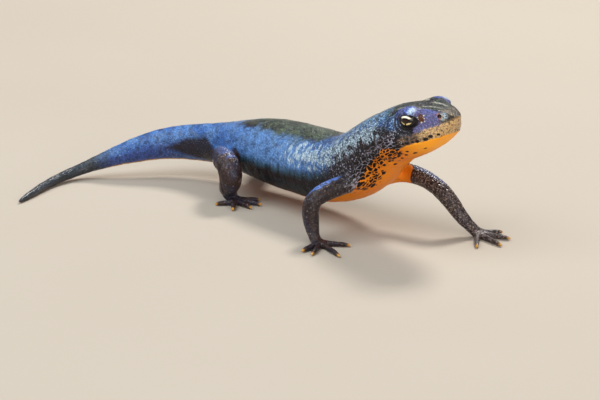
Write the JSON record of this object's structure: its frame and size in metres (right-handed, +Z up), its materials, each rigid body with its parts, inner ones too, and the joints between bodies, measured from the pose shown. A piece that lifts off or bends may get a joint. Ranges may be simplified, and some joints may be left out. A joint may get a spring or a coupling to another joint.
{
  "type": "alpine newt",
  "caption": "Alpine newt as a still life-size model: head raised, trunk clear of the floor, legs splayed in mid-step, tail bent to one side and laid along the floor.",
  "frame": {"origin": "middle of the bounding box's base, on the floor that the feet stand on", "axes": "+X forward along the trunk, +Y to the animal's left, +Z up"},
  "size_m": [0.0578, 0.04, 0.0179],
  "materials": {
    "skin": "moist granular skin: slate blue above, near black on the lower flanks, orange below from throat to tail, beige lips with black spots, dark brown legs",
    "eye": "clear and wet, gold iris with a dark oval pupil"
  },
  "bodies": {
    "root": {"head": "skin", "neck": "skin", "torso": "skin", "tail_base": "skin", "tail_end": "skin", "upper_arm_right": "skin", "forearm_right": "skin", "forefoot_right": "skin", "upper_arm_left": "skin", "forearm_left": "skin", "forefoot_left": "skin", "thigh_right": "skin", "shank_right": "skin", "hind_foot_right": "skin", "thigh_left": "skin", "shank_left": "skin", "hind_foot_left": "skin", "eye_left": "eye", "eye_right": "eye"}
  },
  "joints": []
}
